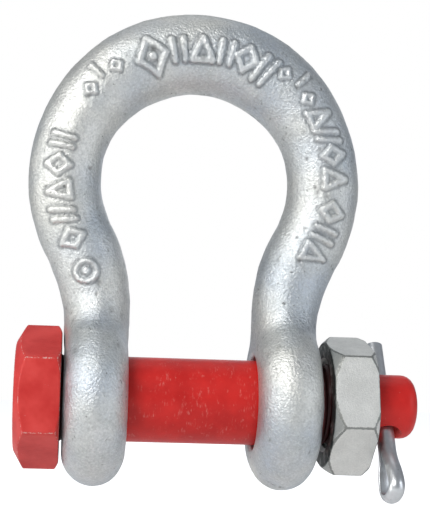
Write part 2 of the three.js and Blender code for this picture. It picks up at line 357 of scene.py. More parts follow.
def crown_marks():
    stroke = CROWN_STROKE
    marks = lozenge(-11.4, -0.7, 6.4, 8.2, stroke) + [dot_mark(-11.4, -0.7, 0.9)]
    marks += double_bar(-5.2, -0.5, 2.5, 4.8, 0, stroke)
    marks += triangle(0.3, -0.5, 5.0, 4.8, stroke)
    marks += double_bar(5.8, -0.5, 2.5, 4.8, 0, stroke)
    marks += lozenge(10.6, -0.5, 4.6, 5.4, stroke)
    marks += double_bar(15.4, -0.8, 2.4, 6.2, 0.5, stroke)
    return marks


def angle_marks(side):
    """The line that shows a pull at 45 degrees to the bow, between two small marks."""
    s = 23.2 * side
    marks = [bar_mark(s, 1.4, s, 6.4, 0.36)]
    marks += lozenge(s - 3.7, 1.2, 2.2, 2.6, 0.34)
    marks += lozenge(s + 3.7, 1.2, 2.2, 2.6, 0.34)
    return marks


def side_marks():
    stroke = SIDE_STROKE
    marks = triangle(31.4, 1.3, 3.6, 4.6, stroke)
    marks += double_bar(35.8, 1.3, 1.9, 4.8, 0.7, stroke)
    marks += lozenge(40.2, 1.3, 3.4, 4.6, stroke)
    marks += triangle(45.4, 1.3, 4.2, 4.6, stroke)
    marks += lozenge(52.6, 1.3, 3.6, 4.8, stroke)
    marks += double_bar(57.6, 1.3, 2.2, 4.8, 0, stroke)
    marks += triangle(62.6, 1.3, 3.8, 4.8, stroke)
    marks += double_bar(-39.4, 1.4, 2.1, 4.8, 0, stroke)
    marks += lozenge(-44.6, 1.4, 3.8, 5.0, stroke)
    marks += triangle(-50.2, 1.4, 3.8, 4.8, stroke)
    marks += double_bar(-55.4, 1.4, 2.1, 4.8, 0.6, stroke)
    marks += lozenge(-60.8, 1.4, 3.8, 5.0, stroke)
    marks += [ring_mark(-68.8, 1.2, 2.3, 0.45), dot_mark(-68.8, 1.2, 0.8)]
    return marks


def raise_marks(along, offset, front):
    """The height of the marks above the bar, and the masks of their tops and their feet."""
    near = np.full_like(along, 9.0)
    for mark in crown_marks() + angle_marks(-1) + angle_marks(1) + side_marks():
        near = smooth_min(near, mark(along, offset), 0.25)
    crown = 1 - smoothstep(np.abs(along), 19.0, 20.5)
    wobble = 0.08 * np.sin(along * 3.1) * np.cos(offset * 4.3)
    top = (1 - smoothstep(near + wobble, -0.28, 0.32)) * front
    foot = np.exp(-(((near - 0.42) / 0.26) ** 2)) * front
    height = top * (MARK_HEIGHT + CROWN_MARK_EXTRA * crown) - 0.06 * foot
    return height, top, foot


def pit_depth(along, angle, reach):
    """Small casual pits in the forging's skin."""
    random = np.random.default_rng(11)
    depth = np.zeros_like(along)
    dark = np.zeros_like(along)
    for _ in range(PITS):
        s0 = random.uniform(-HALF_LENGTH - 12, HALF_LENGTH + 12)
        a0 = random.uniform(-math.pi, math.pi)
        radius = random.uniform(0.25, 0.7)
        deep = random.uniform(0.06, 0.2)
        stretch = random.uniform(0.6, 1.6)
        rows = np.abs(along[:, 0] - s0) < 4 * radius
        turn = (angle[rows] - a0 + math.pi) % (2 * math.pi) - math.pi
        gap = np.hypot((along[rows] - s0) * stretch, turn * reach[rows]) / radius
        hollow = np.exp(-(gap**2))
        depth[rows] += deep * hollow
        dark[rows] = np.maximum(dark[rows], hollow * min(1, deep / 0.12))
    return depth, dark


def bore_cutter(side):
    """A plug through one eye, flared where the bore's edges are rounded."""
    flare, reach = BORE_FLARE, 3.0
    half = EYE_HALF_THICKNESS
    turn = np.linspace(0, BORE_FLARE_ANGLE, 7)
    edge_x = half - flare + flare * np.sin(turn)
    edge_r = EYE_BORE_RADIUS + flare * (1 - np.cos(turn))
    x = np.concatenate([edge_x, [half + reach]])
    slope = math.tan(BORE_FLARE_ANGLE)
    r = np.concatenate([edge_r, [edge_r[-1] + (half + reach - edge_x[-1]) * slope]])
    x = np.concatenate([-x[::-1], x]) + side * EYE_CENTRE
    r = np.concatenate([r[::-1], r])
    around = np.linspace(0, 2 * math.pi, 128, endpoint=False)
    grid = np.stack([x[:, None] + 0 * around, r[:, None] * np.cos(around), r[:, None] * np.sin(around)], -1)
    return grid_object("bore_cutter", grid, [(x[0], 0, 0), (x[-1], 0, 0)])


def make_bow(lumps):
    centre, outward, reach, angle, along = bow_grid()
    offset = reach * np.sin(angle)
    front = (np.cos(angle) > MARK_FRONT).astype(float)
    height, top, foot = raise_marks(along, offset, front)
    depth, dark = pit_depth(along, angle, reach)
    from_side = np.minimum(np.abs(angle - math.pi / 2), np.abs(angle - 3 * math.pi / 2))
    from_side = np.minimum(from_side, np.abs(angle + math.pi / 2))
    seam = np.exp(-((from_side / FLASH_WIDTH) ** 2)) * (np.abs(along) < HALF_LENGTH - 16)
    inner = (np.sin(angle) < 0).astype(float)
    reach = reach + height - depth + FLASH_HEIGHT * seam * inner
    grid = centre + outward * reach[..., None]
    flat_face = np.hypot(grid[..., 1], grid[..., 2]) < EYE_RADIUS - EYE_ROUNDING + 1
    poles = [(-EYE_CENTRE, 0, -EYE_RADIUS), (EYE_CENTRE, 0, -EYE_RADIUS)]
    masks = {"mark_top": top, "mark_foot": foot, "pit": dark, "seam": seam * inner, "lump": 1 - flat_face}
    bow = grid_object("bow_forging", grid, poles, masks=masks)
    bow = lumps(bow, BOW_LUMPS)
    bow = cut(bow, bore_cutter(-1))
    return cut(bow, bore_cutter(1))


# ---------------------------------------------------------------- hexagons and turned pieces
def hex_angles():
    """Points round the axis, closer together towards the six corners. Zero points to the front."""
    t = np.linspace(-1, 1, HEX_COLUMNS, endpoint=False)
    bunched = 0.35 * t + 0.65 * np.sin(t * math.pi / 2)
    sixth = math.pi / 3
    return np.concatenate([sixth * k + bunched * sixth / 2 for k in range(6)])


def hex_radius(angle):
    total = 0
    for k in range(3):
        total = total + np.abs(np.cos(angle - k * math.pi / 3)) ** HEX_SHARPNESS
    return HEX_ACROSS_FLATS / 2 * total ** (-1 / HEX_SHARPNESS)


def hex_sides(angle, low, high, low_chamfer, high_chamfer, chamfer_angle):
    """Rings up the six sides of a hexagon whose corners are chamfered at both ends, with soft edges."""
    corner = HEX_ACROSS_FLATS / math.sqrt(3)
    slope = 1 / math.tan(chamfer_angle)
    soft = HEX_EDGE_RADIUS
    ends = soft * (1 - np.cos(np.linspace(0, math.pi / 2, 6)))
    middle = np.linspace(low + soft, high - soft, 46)[1:-1]
    x = np.concatenate([low + ends, middle, (high - ends)[::-1]])[:, None]
    from_low, from_high = x - low, high - x
    cone = corner + np.minimum((from_low - low_chamfer) * slope, (from_high - high_chamfer) * slope)
    hexagon = hex_radius(angle)[None, :]
    inset = np.zeros_like(x)
    for gap in (from_low, from_high):
        inset = inset + soft - np.sqrt(np.clip(soft**2 - np.clip(soft - gap, 0, soft) ** 2, 0, None))
    radius = smooth_min(cone, hexagon, 0.3) - inset
    ridge = np.exp(-(((cone - hexagon) / 0.5) ** 2))
    sixth = math.pi / 3
    to_corner = np.abs((angle + sixth / 2) % sixth) * corner
    to_corner = np.minimum(to_corner, sixth * corner - to_corner)
    corner_line = np.exp(-((to_corner / 0.5) ** 2))[None, :] * (cone > hexagon - 0.2)
    rim = np.exp(-((np.minimum(from_low, from_high) / 0.35) ** 2)) + 0 * radius
    edge = np.maximum(np.maximum(ridge, corner_line), rim)
    return x + 0 * radius, radius, edge


def face_rings(edge_radius, inner, x, steps, outward):
    """Rings over an end face, between its edge and a smaller circle."""
    share = np.linspace(0, 1, steps + 1)[1:][:, None]
    radius = edge_radius[None, :] * (1 - share) + inner * share
    edge = np.exp(-(((edge_radius[None, :] - radius) / 0.35) ** 2))
    rings = (np.full_like(radius, x), radius, edge)
    return rings if outward else tuple(layer[::-1] for layer in rings)


def rounded_path(corners, step):
    """Points of [radius, x] along straight lines whose corners are rounded by the given fillets."""
    points = []
    for i, (r, x, fillet) in enumerate(corners):
        here = np.array([r, x], float)
        if i in (0, len(corners) - 1) or fillet == 0:
            points.append(here)
            continue
        back = np.array(corners[i - 1][:2], float) - here
        ahead = np.array(corners[i + 1][:2], float) - here
        back, ahead = back / np.hypot(*back), ahead / np.hypot(*ahead)
        half = math.acos(np.clip(back @ ahead, -1, 1)) / 2
        centre = here + (back + ahead) / np.hypot(*(back + ahead)) * fillet / math.sin(half)
        start = here + back * fillet / math.tan(half) - centre
        end = here + ahead * fillet / math.tan(half) - centre
        sweep = math.pi - 2 * half
        for t in np.linspace(0, 1, 7):
            arm = (start * math.sin((1 - t) * sweep) + end * math.sin(t * sweep)) / math.sin(sweep)
            points.append(centre + arm)
    path = [points[0]]
    for here in points[1:]:
        gap = np.hypot(*(here - path[-1]))
        count = max(1, int(round(gap / step)))
        start = path[-1]
        path += [start + (here - start) * k / count for k in range(1, count + 1)]
    return np.array(path)


def lathe_rings(path, angle):
    x = path[:, 1][:, None] + 0 * angle[None, :]
    radius = path[:, 0][:, None] + 0 * angle[None, :]
    return x, radius, 0 * x


def stack_rings(*parts):
    return tuple(np.concatenate([part[k] for part in parts]) for k in range(3))


def round_axis(x, radius, angle, turn):
    """Places rings of radii about the bolt's axis. Zero angle points to the front, then up."""
    a = angle[None, :] - turn
    return np.stack([x, -radius * np.cos(a), radius * np.sin(a)], axis=-1)


# ---------------------------------------------------------------- the bolt
def cross_hole():
    """A cutter for the hole that takes the cotter pin, with countersunk mouths."""
    half, mouth = HOLE_CUT_REACH, HOLE_MOUTH
    surface = POINT_RADIUS - 0.25
    profile = [(0, -half), (HOLE_RADIUS + 3, -half), (HOLE_RADIUS + mouth, -surface)]
    profile += [(HOLE_RADIUS, -surface + 0.8), (HOLE_RADIUS, surface - 0.8)]
    profile += [(HOLE_RADIUS + mouth, surface), (HOLE_RADIUS + 3, half), (0, half)]
    rings = np.array(profile[1:-1])
    around = np.linspace(0, 2 * math.pi, 64, endpoint=False)
    r, along = rings[:, 0][:, None], rings[:, 1][:, None]
    grid = np.stack([r * np.cos(around), r * np.sin(around), along + 0 * around], axis=-1)
    cutter = grid_object("hole_cutter", grid, [(0, 0, -half), (0, 0, half)])
    turn = Matrix.Rotation(-COTTER_TILT, 4, "X")
    cutter.data.transform(Matrix.Translation(((COTTER_X + COTTER_OFFSET) * MM, 0, 0)) @ turn)
    return cutter


def make_bolt(thread):
    angle = hex_angles()
    low = BOLT_LOW[0]
    end = BOLT_HIGH[0]
    nut_end = NUT_HIGH[0]
    sides = hex_sides(angle, low, HEAD_SEAT, *HEAD_CHAMFERS)
    cap = face_rings(sides[1][0], 0.6, low, 26, outward=False)
    seat = face_rings(sides[1][-1], SHANK_RADIUS + HEAD_FILLET, HEAD_SEAT, 12, outward=True)
    shank = [(SHANK_RADIUS + HEAD_FILLET, HEAD_SEAT, 0), (SHANK_RADIUS, HEAD_SEAT + HEAD_FILLET, 0.2)]
    shank += [(SHANK_RADIUS, SHOULDER - SHOULDER_CHAMFER, 0.3)]
    shank += [(SHANK_RADIUS - SHOULDER_CHAMFER, SHOULDER, 0.15)]
    shank += [(THREAD_CREST - 0.5, SHOULDER, 0)]
    thread_start, thread_end = SHOULDER + 0.1, nut_end - 2.4
    cut_part = [(THREAD_CREST - 0.3, thread_start, 0), (THREAD_CREST - 0.3, thread_end, 0)]
    point = [(THREAD_CREST - 0.3, thread_end + 0.1, 0), (POINT_RADIUS, nut_end - POINT_INSIDE_NUT, 0.4)]
    point += [(POINT_RADIUS, end, POINT_ROUNDING), (0.5, end, 0)]
    parts = [rounded_path(shank, 0.8), rounded_path(cut_part, 0.2), rounded_path(point, 0.45)]
    stem = lathe_rings(np.vstack(parts), angle)
    x, radius, edge = stack_rings(cap, sides, seat, stem)
    fade_in = smoothstep(x, thread_start, thread_start + 1.2)
    threaded = fade_in * (1 - smoothstep(x, thread_end - 1.0, thread_end))
    threaded = threaded * (radius < THREAD_CREST)
    rim = np.exp(-(((x - SHOULDER) / 0.5) ** 2)) + np.exp(-(((x - end + 0.6) / 0.9) ** 2))
    edge = np.maximum(edge, 0.7 * np.clip(rim, 0, 1) * (radius > 4))
    grid = round_axis(x, radius, angle, HEAD_TURN)
    poles = [(low, 0, 0), (end, 0, 0)]
    shank_mask = (x > HEAD_SEAT + 1) * (x < SHOULDER)
    head = (x < HEAD_SEAT + HEAD_FILLET) * 1.0
    # Painted shade: the paint goes almost black on the shank in the narrow gaps beside the nut and under the
    # head, where the eyes shade it.
    by_nut = smoothstep(x, SHOULDER - 1.1, SHOULDER - 0.6) * (x < nut_end - 1)
    by_head = (x > HEAD_SEAT - 0.05) * (1 - smoothstep(x, HEAD_SEAT + 0.8, HEAD_SEAT + 1.4))
    gap_shade = np.maximum(by_nut, by_head)
    masks = {"edge": edge, "threaded": threaded, "shank": shank_mask, "head": head, "gap_shade": gap_shade}
    bolt = grid_object("hex_bolt", grid, poles, masks=masks)
    bolt = thread(bolt, (THREAD_CREST + THREAD_ROOT) / 2 - (THREAD_CREST - 0.3), THREAD_CREST - THREAD_ROOT)
    return cut(bolt, cross_hole())


# ---------------------------------------------------------------- the nut
def make_nut(thread, lumps):
    angle = hex_angles()
    low, high = NUT_LOW[0], NUT_HIGH[0]
    sides = hex_sides(angle, low, high, *NUT_CHAMFERS)
    mouth = NUT_ROOT + 0.5
    right = face_rings(sides[1][-1], mouth, high, 9, outward=True)
    left = face_rings(sides[1][0], mouth, low, 9, outward=False)
    root, chamfer = NUT_ROOT - 0.4, 0.9
    bore = [(mouth, high, 0), (root, high - chamfer, 0), (root, low + chamfer, 0), (mouth, low, 0)]
    inside = lathe_rings(rounded_path(bore, 0.21)[1:-1], angle)
    x, radius, edge = stack_rings(left, sides, right, inside)
    in_bore = radius < mouth - 0.05
    threaded = in_bore * smoothstep(x, low + 0.5, low + 1.3) * (1 - smoothstep(x, high - 1.3, high - 0.5))
    grid = round_axis(x, radius, angle, NUT_TURN)
    # The bearing mask carries painted shade: the bearing face sits in the ear's shadow.
    bearing = (x < low + 0.25) * (radius < BEARING_RADIUS)
    on_flat = radius > hex_radius(angle)[None, :] - 0.25
    # The cone mask carries painted shade: the seat-side chamfer is darkened as if in the ear's shadow.
    cone = (x < (low + high) / 2) * (1 - on_flat) * (1 - in_bore) * (1 - bearing)
    masks = {"edge": edge, "threaded": threaded, "lump": 1 - in_bore, "bearing": bearing, "cone": cone}
    nut = grid_object("hex_nut", grid, around=True, masks=masks)
    nut = lumps(nut, NUT_LUMPS)
    middle = (NUT_CREST + NUT_ROOT) / 2 - (NUT_ROOT - 0.4)
    nut = thread(nut, middle, NUT_ROOT - NUT_CREST)
    nut.data.set_sharp_from_angle(angle=math.radians(50))
    return nut


# ---------------------------------------------------------------- geometry node trees
def add(tree, kind, inputs=None, **settings):
    """A node, its settings, and its inputs by name or number: each a value or another node's output."""
    node = tree.nodes.new(kind)
    for name, value in settings.items():
        setattr(node, name, value)
    for name, value in (inputs or {}).items():
        if isinstance(value, bpy.types.NodeSocket):
            tree.links.new(value, node.inputs[name])
        else:
            node.inputs[name].default_value = value
    return node


def math_node(tree, operation, *values, clamp=False):
    node = add(tree, "ShaderNodeMath", dict(enumerate(values)), operation=operation, use_clamp=clamp)
    return node.outputs[0]


def new_geometry_tree(name, sockets):
    """An empty tree with a geometry input and output, and named inputs."""
    tree = bpy.data.node_groups.new(name, "GeometryNodeTree")
    tree.interface.new_socket("Geometry", in_out="INPUT", socket_type="NodeSocketGeometry")
    for socket_name, kind in sockets:
        tree.interface.new_socket(socket_name, in_out="INPUT", socket_type="NodeSocket" + kind)
    tree.interface.new_socket("Geometry", in_out="OUTPUT", socket_type="NodeSocketGeometry")
    return tree, tree.nodes.new("NodeGroupInput")


def end_tree(tree, geometry, material):
    real = add(tree, "GeometryNodeRealizeInstances", {"Geometry": geometry})
    painted = add(tree, "GeometryNodeSetMaterial", {"Geometry": real.outputs[0], "Material": material})
    add(tree, "NodeGroupOutput", {"Geometry": painted.outputs[0]})


def run_tree(obj, tree, values):
    """Runs a tree on the object with these inputs, and keeps the result as a plain mesh."""
    modifier = obj.modifiers.new(tree.name, "NODES")
    modifier.node_group = tree
    for item in tree.interface.items_tree:
        if item.in_out == "INPUT" and item.name in values:
            modifier[item.identifier] = values[item.name]
    return make_plain(obj)


def named(tree, name):
    return add(tree, "GeometryNodeInputNamedAttribute", {"Name": name}, data_type="FLOAT").outputs[0]


def zinc_lumps_tree():
    """Moves a skin in and out by soft noise of two sizes, as molten zinc runs and sets."""
    inputs = [("Height", "Float"), ("Wave Scale", "Float"), ("Grain Scale", "Float")]
    tree, given = new_geometry_tree("zinc_lumps", inputs + [("Material", "Material")])
    grain_share = 0.30
    place = add(tree, "GeometryNodeInputPosition").outputs[0]
    wave_inputs = {"Vector": place, "Scale": given.outputs["Wave Scale"], "Detail": 1.0}
    wave = add(tree, "ShaderNodeTexNoise", wave_inputs).outputs[0]
    grain_inputs = {"Vector": place, "Scale": given.outputs["Grain Scale"], "Detail": 2.0}
    grain = add(tree, "ShaderNodeTexNoise", grain_inputs).outputs[0]
    both = math_node(tree, "MULTIPLY_ADD", grain, grain_share, wave)
    centred = math_node(tree, "SUBTRACT", both, 0.5 + grain_share / 2)
    held = math_node(tree, "MULTIPLY", centred, named(tree, "lump"))
    height = math_node(tree, "MULTIPLY", held, given.outputs["Height"])
    normal = add(tree, "GeometryNodeInputNormal").outputs[0]
    shift = add(tree, "ShaderNodeVectorMath", {0: normal, "Scale": height}, operation="SCALE")
    moved = {"Geometry": given.outputs["Geometry"], "Offset": shift.outputs[0]}
    end_tree(tree, add(tree, "GeometryNodeSetPosition", moved).outputs[0], given.outputs["Material"])
    return tree


def cut_thread_tree():
    """Moves a round skin about the X axis into a helical thread, which comes out left-hand."""
    inputs = [("Pitch", "Float"), ("Depth", "Float"), ("Middle", "Float"), ("Material", "Material")]
    tree, given = new_geometry_tree("cut_thread", inputs)
    place = add(tree, "GeometryNodeInputPosition").outputs[0]
    x, y, z = add(tree, "ShaderNodeSeparateXYZ", {0: place}).outputs
    turn = math_node(tree, "ARCTAN2", z, y)
    turns = math_node(tree, "DIVIDE", turn, 2 * math.pi)
    along = math_node(tree, "DIVIDE", x, given.outputs["Pitch"])
    phase = math_node(tree, "ADD", along, turns)
    share = math_node(tree, "PINGPONG", phase, 0.5)
    steep = math_node(tree, "SUBTRACT", math_node(tree, "MULTIPLY", share, 2.0), 0.5)
    flanks = math_node(tree, "MULTIPLY", steep, 1.25)
    wave = math_node(tree, "MINIMUM", math_node(tree, "MAXIMUM", flanks, -0.5), 0.5)
    deep = math_node(tree, "MULTIPLY_ADD", wave, given.outputs["Depth"], given.outputs["Middle"])
    height = math_node(tree, "MULTIPLY", deep, named(tree, "threaded"))
    from_axis = add(tree, "ShaderNodeCombineXYZ", {"Y": y, "Z": z}).outputs[0]
    radial = add(tree, "ShaderNodeVectorMath", {0: from_axis}, operation="NORMALIZE").outputs[0]
    shift = add(tree, "ShaderNodeVectorMath", {0: radial, "Scale": height}, operation="SCALE")
    moved = {"Geometry": given.outputs["Geometry"], "Offset": shift.outputs[0]}
    end_tree(tree, add(tree, "GeometryNodeSetPosition", moved).outputs[0], given.outputs["Material"])
    return tree


def half_round_wire_tree():
    """Sweeps a half-round section along a wire's path, with the flat side on the path."""
    inputs = [("Width", "Float"), ("Thickness", "Float"), ("Material", "Material")]
    tree, given = new_geometry_tree("half_round_wire", inputs)
    upright = {"Curve": given.outputs["Geometry"]}
    path = add(tree, "GeometryNodeSetCurveNormal", upright, mode="Z_UP").outputs[0]
    arc_inputs = {"Resolution": 25, "Radius": 0.5, "Start Angle": 0.0, "Sweep Angle": math.pi}
    arc = add(tree, "GeometryNodeCurveArc", arc_inputs, mode="RADIUS").outputs[0]
    closed = add(tree, "GeometryNodeSetSplineCyclic", {"Geometry": arc, "Cyclic": True}).outputs[0]
    double = math_node(tree, "MULTIPLY", given.outputs["Thickness"], 2.0)
    size = add(tree, "ShaderNodeCombineXYZ", {0: double, 1: given.outputs["Width"], 2: 1.0}).outputs[0]
    stood = {"Geometry": closed, "Rotation": (0, 0, math.pi / 2)}
    turned = add(tree, "GeometryNodeTransform", stood).outputs[0]
    section = add(tree, "GeometryNodeTransform", {"Geometry": turned, "Scale": size}).outputs[0]
    rounding = {"Curve": section, "Radius": 0.0003, "Count": 4, "Limit Radius": True}
    soft = add(tree, "GeometryNodeFilletCurve", rounding, mode="POLY").outputs[0]
    swept_inputs = {"Curve": path, "Profile Curve": soft, "Fill Caps": True}
    swept = add(tree, "GeometryNodeCurveToMesh", swept_inputs).outputs[0]
    end_tree(tree, swept, given.outputs["Material"])
    return tree


# ---------------------------------------------------------------- the cotter pin
LEG_LENGTH = 16.2
EYE_REACH = 23.9
EYE_NECK = 11.0
WIRE_EYE_RADIUS = 3.7
WIRE_THICKNESS = (COTTER_WIDTH - COTTER_SLIT) / 2
NECK_HANDLE = 0.4  # share of the neck's length over which the wire stays straight


def cotter_path():
    """The inside of the bent wire: up one leg, round the eye and back down the other leg."""
    slit = COTTER_SLIT / 2
    radius = WIRE_EYE_RADIUS - WIRE_THICKNESS
    centre = EYE_REACH - WIRE_EYE_RADIUS
    neck = centre - EYE_NECK
    leg = [(x, slit) for x in np.linspace(-LEG_LENGTH, EYE_NECK, 24)]
    handle = NECK_HANDLE * neck
    ends = [(EYE_NECK, slit), (EYE_NECK + handle, slit), (centre - handle, radius), (centre, radius)]
    a, b, c, d = (np.array(end) for end in ends)
    flare = []
    for t in np.linspace(0, 1, 25)[1:]:
        u = 1 - t
        flare.append(tuple(u**3 * a + 3 * u * u * t * b + 3 * u * t * t * c + t**3 * d))
    turns = np.linspace(math.pi / 2, 0, 19)[1:]
    bend = [(centre + radius * math.cos(turn), radius * math.sin(turn)) for turn in turns]
    half = leg + flare + bend
    return half + [(x, -y) for x, y in half[:-1][::-1]]


def make_cotter(wire_tree, material):
    curve = bpy.data.curves.new("split_cotter", "CURVE")
    curve.dimensions = "3D"
    path = cotter_path()
    spline = curve.splines.new("POLY")
    spline.points.add(len(path) - 1)
    for point, (x, y) in zip(spline.points, path):
        point.co = (x * MM, y * MM, 0, 1)
    obj = link(bpy.data.objects.new("split_cotter", curve))
    sizes = {"Width": COTTER_WIDTH * MM, "Thickness": WIRE_THICKNESS * MM, "Material": material}
    pin = run_tree(obj, wire_tree, sizes)
    place = Matrix.Translation((COTTER_X * MM, 0, 0))
    turns = Matrix.Rotation(-COTTER_TILT, 4, "X") @ Matrix.Rotation(math.pi / 2, 4, "Y")
    pin.data.transform(place @ turns @ Matrix.Rotation(COTTER_EYE_TURN, 4, "X"))
    pin.data.shade_smooth()
    pin.data.set_sharp_from_angle(angle=math.radians(40))
    return pin


# ---------------------------------------------------------------- shader node groups
def new_shader_group(name, inputs, outputs):
    tree = bpy.data.node_groups.new(name, "ShaderNodeTree")
    for socket_name, kind, value in inputs:
        socket = tree.interface.new_socket(socket_name, in_out="INPUT", socket_type="NodeSocket" + kind)
        if value is not None:
            socket.default_value = value
    for socket_name, kind in outputs:
        tree.interface.new_socket(socket_name, in_out="OUTPUT", socket_type="NodeSocket" + kind)
    return tree, tree.nodes.new("NodeGroupInput").outputs, tree.nodes.new("NodeGroupOutput").inputs


def ramp(tree, value, low, high):
    node = add(tree, "ShaderNodeMapRange", {"Value": value, "From Min": low, "From Max": high})
    return node.outputs[0]


def noise(tree, vector, scale, detail=2.0, roughness=0.5, kind="FBM"):
    inputs = {"Vector": vector, "Scale": scale, "Detail": detail, "Roughness": roughness}
    return add(tree, "ShaderNodeTexNoise", inputs, noise_type=kind).outputs["Fac"]


def mix(tree, share, first, second):
    """A colour between two colours."""
    node = add(tree, "ShaderNodeMix", {0: share, 6: first, 7: second}, data_type="RGBA")
    return node.outputs[2]


def zinc_skin_group():
    """Mottling, fine grain and dark specks of a hot-dipped zinc skin."""
    inputs = [("Vector", "Vector", None), ("Grain Scale", "Float", 2600.0), ("Patch Scale", "Float", 190.0)]
    outputs = [("Patches", "Float"), ("Grain", "Float"), ("Specks", "Float")]
    tree, given, out = new_shader_group("zinc_skin", inputs, outputs)
    patches = noise(tree, given["Vector"], given["Patch Scale"], 4.0, 0.6)
    tree.links.new(ramp(tree, patches, 0.32, 0.68), out["Patches"])
    fine = noise(tree, given["Vector"], given["Grain Scale"], 3.0, 0.65)
    cells_inputs = {"Vector": given["Vector"], "Scale": given["Grain Scale"]}
    cells = add(tree, "ShaderNodeTexVoronoi", cells_inputs, feature="SMOOTH_F1").outputs["Distance"]
    grain = math_node(tree, "MULTIPLY_ADD", cells, 0.4, fine)
    tree.links.new(grain, out["Grain"])
    third = math_node(tree, "MULTIPLY", given["Grain Scale"], 0.36)
    spots = noise(tree, given["Vector"], third, 2.0, 0.5)
    tree.links.new(ramp(tree, spots, 0.69, 0.76), out["Specks"])
    return tree


def rubbed_edge_group():
    """A broken mask along the edges, where a finish has rubbed through."""
    inputs = [("Vector", "Vector", None), ("Edge", "Float", 0.0)]
    inputs += [("Wear", "Float", 0.5), ("Scale", "Float", 700.0)]
    tree, given, out = new_shader_group("rubbed_edge", inputs, [("Mask", "Float")])
    broken = noise(tree, given["Vector"], given["Scale"], 3.0, 0.7)
    total = math_node(tree, "ADD", given["Edge"], broken)
    limit = math_node(tree, "SUBTRACT", 2.0, given["Wear"])
    over = math_node(tree, "SUBTRACT", total, limit)
    tree.links.new(ramp(tree, over, 0.0, 0.12), out["Mask"])
    return tree


# ---------------------------------------------------------------- materials
def new_material(name):
    material = bpy.data.materials.new(name)
    material.use_nodes = True
    tree = material.node_tree
    shader = tree.nodes["Principled BSDF"]
    vector = add(tree, "ShaderNodeTexCoord").outputs["Object"]
    return material, tree, shader, vector


def group(tree, group_tree, inputs):
    node = tree.nodes.new("ShaderNodeGroup")
    node.node_tree = group_tree
    for name, value in inputs.items():
        if isinstance(value, bpy.types.NodeSocket):
            tree.links.new(value, node.inputs[name])
        else:
            node.inputs[name].default_value = value
    return node.outputs


def attribute(tree, name):
    return add(tree, "ShaderNodeAttribute", attribute_name=name).outputs["Fac"]


def set_bump(tree, shader, height, distance, strength):
    bump = add(tree, "ShaderNodeBump", {"Height": height, "Distance": distance, "Strength": strength})
    tree.links.new(bump.outputs[0], shader.inputs["Normal"])


def galvanised_forging(zinc_skin):
    material, tree, shader, vector = new_material("galvanised_forging")
    skin = group(tree, zinc_skin, {"Vector": vector, "Grain Scale": 1900.0, "Patch Scale": 170.0})
    broad = noise(tree, vector, 55.0, 2.0)
    pale = (0.80, 0.80, 0.775, 1)
    blue = (0.57, 0.62, 0.68, 1)
    olive = (0.50, 0.52, 0.47, 1)
    tone = mix(tree, ramp(tree, broad, 0.38, 0.62), blue, pale)
    tone = mix(tree, math_node(tree, "MULTIPLY", skin["Patches"], 0.30), tone, olive)
    grain = ramp(tree, skin["Grain"], 0.45, 0.95)
    tone = mix(tree, math_node(tree, "MULTIPLY", grain, 0.42), tone, (0.24, 0.25, 0.25, 1))
    # Painted glints: pale specks in the colour stand in for the zinc's sparkle in the highlights.
    glints = ramp(tree, noise(tree, vector, 2300.0, 3.0, 0.7), 0.55, 0.68)
    tone = mix(tree, math_node(tree, "MULTIPLY", glints, 0.45), tone, (0.93, 0.93, 0.90, 1))
    lift = math_node(tree, "MULTIPLY", attribute(tree, "mark_top"), 0.35)
    tone = mix(tree, lift, tone, (0.80, 0.80, 0.78, 1))
    # Painted shade: a dark line in the creases round the feet of the marks.
    feet = math_node(tree, "MULTIPLY", attribute(tree, "mark_foot"), 0.62)
    tone = mix(tree, feet, tone, (0.16, 0.17, 0.18, 1))
    seam = math_node(tree, "MULTIPLY", attribute(tree, "seam"), 0.3)
    tone = mix(tree, seam, tone, (0.84, 0.84, 0.82, 1))
    # Darker in the pits and at scattered specks.
    dark_spots = math_node(tree, "MAXIMUM", attribute(tree, "pit"), skin["Specks"])
    tone = mix(tree, math_node(tree, "MULTIPLY", dark_spots, 0.6), tone, (0.15, 0.15, 0.145, 1))
    tree.links.new(tone, shader.inputs["Base Color"])
    shader.inputs["Metallic"].default_value = 0.9
    rough = math_node(tree, "MULTIPLY_ADD", skin["Patches"], 0.10, 0.40)
    rough = math_node(tree, "MULTIPLY_ADD", dark_spots, 0.25, rough)
    tree.links.new(rough, shader.inputs["Roughness"])
    set_bump(tree, shader, skin["Grain"], 0.00022, 0.9)
    return material


def galvanised_nut(zinc_skin, rubbed_edge):
    material, tree, shader, vector = new_material("galvanised_nut")
    skin = group(tree, zinc_skin, {"Vector": vector, "Grain Scale": 3400.0, "Patch Scale": 260.0})
    tone = mix(tree, skin["Patches"], (0.71, 0.71, 0.68, 1), (0.82, 0.82, 0.79, 1))
    grain = ramp(tree, skin["Grain"], 0.45, 0.95)
    tone = mix(tree, math_node(tree, "MULTIPLY", grain, 0.35), tone, (0.45, 0.46, 0.46, 1))
    wear = {"Vector": vector, "Edge": attribute(tree, "edge"), "Wear": 0.80, "Scale": 2600.0}
    worn = group(tree, rubbed_edge, wear)["Mask"]
    tone = mix(tree, math_node(tree, "MULTIPLY", worn, 0.8), tone, (0.17, 0.18, 0.17, 1))
    # Painted shade: the bearing face, in the ear's shadow, goes almost black in broken patches.
    shade_breakup = ramp(tree, noise(tree, vector, 380.0, 3.0, 0.6), 0.25, 0.5)
    painted_shade = math_node(tree, "MULTIPLY", attribute(tree, "bearing"), shade_breakup)
    tone = mix(tree, math_node(tree, "MULTIPLY", painted_shade, 0.9), tone, (0.035, 0.04, 0.04, 1))
    # Painted shade: the seat-side chamfer cone is darkened where the ear shades it.
    cone = math_node(tree, "MULTIPLY", attribute(tree, "cone"), 0.45)
    tone = mix(tree, cone, tone, (0.20, 0.22, 0.21, 1))
    tree.links.new(tone, shader.inputs["Base Color"])
    shader.inputs["Metallic"].default_value = 0.9
    tree.links.new(math_node(tree, "MULTIPLY_ADD", grain, 0.15, 0.45), shader.inputs["Roughness"])
    set_bump(tree, shader, skin["Grain"], 0.00013, 0.6)
    return material


